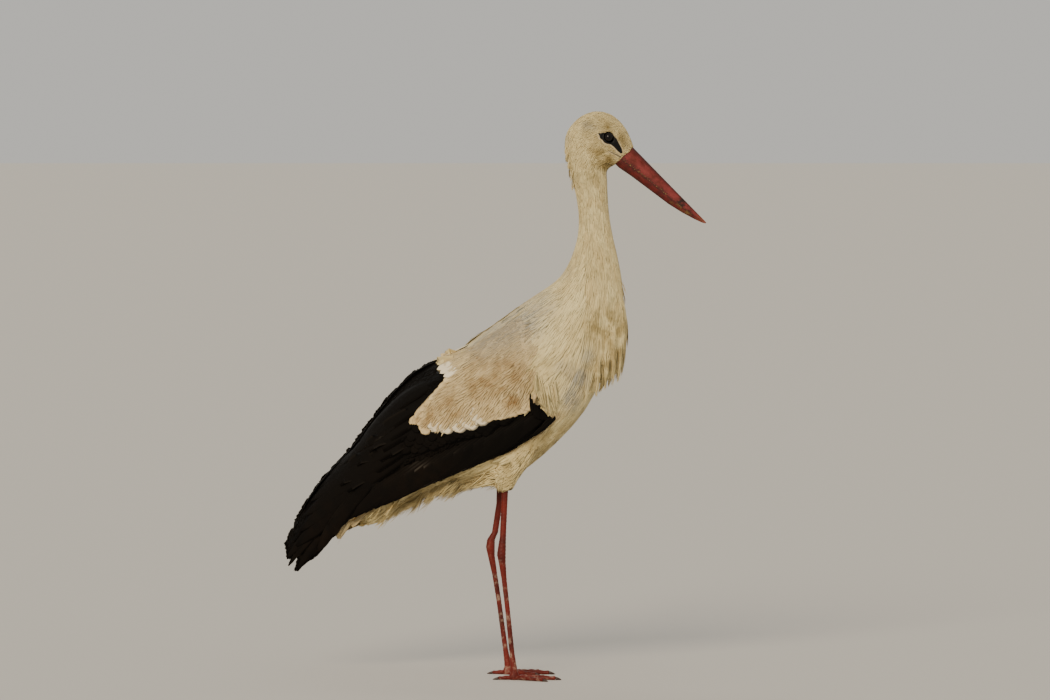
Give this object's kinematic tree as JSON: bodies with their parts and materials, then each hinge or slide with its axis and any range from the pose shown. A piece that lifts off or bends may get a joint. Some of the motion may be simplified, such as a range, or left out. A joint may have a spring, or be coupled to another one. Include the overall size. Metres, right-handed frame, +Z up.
{
  "type": "white stork",
  "caption": "Life-size still model of a white stork standing on both feet, wings folded, bill pointing down and ahead.",
  "frame": {"origin": "on the floor, under the middle of the bird's length and width", "axes": "+X ahead, the way the bird faces; +Y to the bird's left; +Z up from the floor"},
  "size_m": [0.673, 0.1984, 0.907],
  "materials": {
    "plumage_white": "soft white feathers, stained cream and ochre",
    "plumage_black": "black flight feathers with a slight gloss",
    "bill_horn": "red horn, satin",
    "leg_skin": "red scaly skin",
    "claw_horn": "dark blunt horn",
    "eye": "wet, dark brown"
  },
  "bodies": {
    "root": {"bill_lower": "bill_horn", "bill_upper": "bill_horn", "breast_plumes": "plumage_white", "claw_hind_left": "claw_horn", "claw_hind_right": "claw_horn", "claw_inner_left": "claw_horn", "claw_inner_right": "claw_horn", "claw_middle_left": "claw_horn", "claw_middle_right": "claw_horn", "claw_outer_left": "claw_horn", "claw_outer_right": "claw_horn", "coverts_left": "plumage_white", "coverts_right": "plumage_white", "eye_left": "eye", "eye_right": "eye", "foot_left": "leg_skin", "foot_right": "leg_skin", "head": "plumage_white", "neck_lower": "plumage_white", "neck_upper": "plumage_white", "primaries_left": "plumage_black", "primaries_right": "plumage_black", "scapulars_left": "plumage_white", "scapulars_right": "plumage_white", "secondaries_left": "plumage_black", "secondaries_right": "plumage_black", "tail": "plumage_white", "tarsus_left": "leg_skin", "tarsus_right": "leg_skin", "tertials_left": "plumage_black", "tertials_right": "plumage_black", "thigh_left": "plumage_white", "thigh_right": "plumage_white", "tibia_left": "leg_skin", "tibia_right": "leg_skin", "trunk": "plumage_white"}
  },
  "joints": []
}
